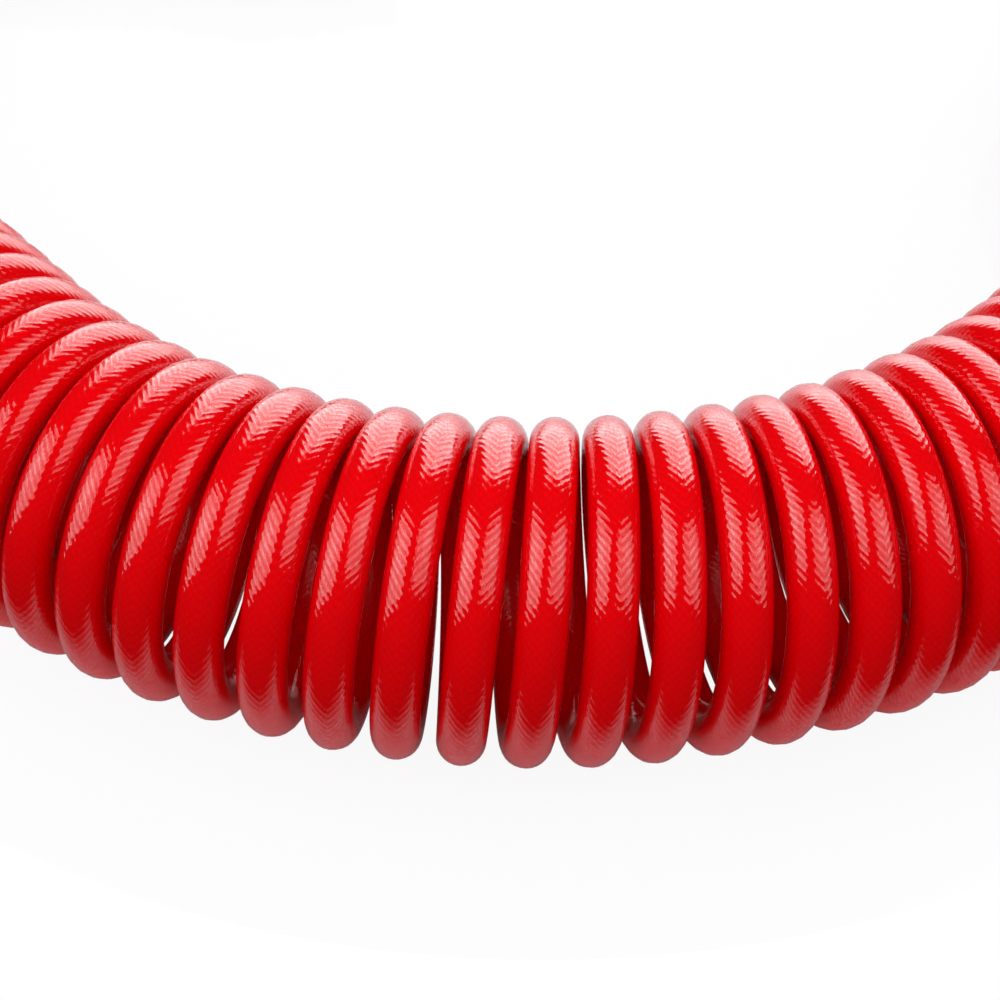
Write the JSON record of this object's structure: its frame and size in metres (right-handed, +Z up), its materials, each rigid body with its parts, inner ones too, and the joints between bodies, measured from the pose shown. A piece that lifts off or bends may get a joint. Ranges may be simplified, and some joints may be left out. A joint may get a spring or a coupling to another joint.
{
  "type": "coiled air hose",
  "caption": "Red braided polyurethane recoil air hose in a bent coil, with a swivel plug on its inlet and a swivel quick coupler on its outlet.",
  "frame": {"origin": "on the floor, under the middle of the box of the hose as it lies", "axes": "+Z up; the front of the bend, the side that is seen, is towards -Y; +X to the right"},
  "size_m": [0.582, 0.4062, 0.0832],
  "materials": {
    "hose": "glossy clear jacket over a diagonal braid",
    "spring_wire": "bright drawn wire",
    "brass": "turned, satin",
    "plated_steel": "nickel plated, turned",
    "seal_rubber": "matte black",
    "ball_steel": "polished"
  },
  "bodies": {
    "hose": {"coil_inlet_run": "hose", "coil_inlet_bend": "hose", "coil_left_run": "hose", "coil_front_left": "hose", "coil_front_right": "hose", "coil_right_bend": "hose", "coil_outlet_run": "hose", "inlet_tail": "hose", "outlet_tail": "hose", "inlet_kink_guard": "spring_wire", "inlet_nut": "brass", "inlet_stem": "brass", "inlet_swivel_seal": "seal_rubber", "outlet_kink_guard": "spring_wire", "outlet_nut": "brass", "outlet_stem": "brass", "outlet_swivel_seal": "seal_rubber"},
    "inlet_plug": {"plug_nipple": "plated_steel", "inlet_swivel_ring": "spring_wire"},
    "coupler": {"coupler_adapter": "brass", "coupler_body": "plated_steel", "outlet_swivel_ring": "spring_wire", "plug_seal": "seal_rubber", "sleeve_stop_ring": "spring_wire", "sleeve_spring": "spring_wire", "valve_spring": "spring_wire"},
    "sleeve": {"coupler_sleeve": "plated_steel"},
    "valve": {"valve_poppet": "brass", "valve_seal": "seal_rubber"},
    "ball_1": {"locking_ball_1": "ball_steel"},
    "ball_2": {"locking_ball_2": "ball_steel"},
    "ball_3": {"locking_ball_3": "ball_steel"},
    "ball_4": {"locking_ball_4": "ball_steel"}
  },
  "joints": [
    {"name": "inlet_swivel", "type": "hinge", "parent": "hose", "child": "inlet_plug", "pos_m": [-0.10363, 0.19211, 0.01], "axis": [1, 0, 0], "continuous": true},
    {"name": "outlet_swivel", "type": "hinge", "parent": "hose", "child": "coupler", "pos_m": [0.27897, -0.08435, 0.0122], "axis": [0, -1, 0], "continuous": true},
    {"name": "sleeve_slide", "type": "slide", "parent": "coupler", "child": "sleeve", "axis": [0, 1, 0], "range_m": [0, 0.005], "stiffness_N_per_m": 800, "springref_m": -0.004},
    {"name": "valve_slide", "type": "slide", "parent": "coupler", "child": "valve", "axis": [0, 1, 0], "range_m": [0, 0.004], "stiffness_N_per_m": 500, "springref_m": -0.003},
    {"name": "ball_1_slide", "type": "slide", "parent": "coupler", "child": "ball_1", "axis": [0, 0, -1], "range_m": [0, 0.00125]},
    {"name": "ball_2_slide", "type": "slide", "parent": "coupler", "child": "ball_2", "axis": [1, 0, 0], "range_m": [0, 0.00125]},
    {"name": "ball_3_slide", "type": "slide", "parent": "coupler", "child": "ball_3", "axis": [0, 0, 1], "range_m": [0, 0.00125]},
    {"name": "ball_4_slide", "type": "slide", "parent": "coupler", "child": "ball_4", "axis": [-1, 0, 0], "range_m": [0, 0.00125]}
  ],
  "couplings": [
    {"joint": "ball_1_slide", "follows": "sleeve_slide", "ratio": 0.25},
    {"joint": "ball_2_slide", "follows": "sleeve_slide", "ratio": 0.25},
    {"joint": "ball_3_slide", "follows": "sleeve_slide", "ratio": 0.25},
    {"joint": "ball_4_slide", "follows": "sleeve_slide", "ratio": 0.25}
  ]
}
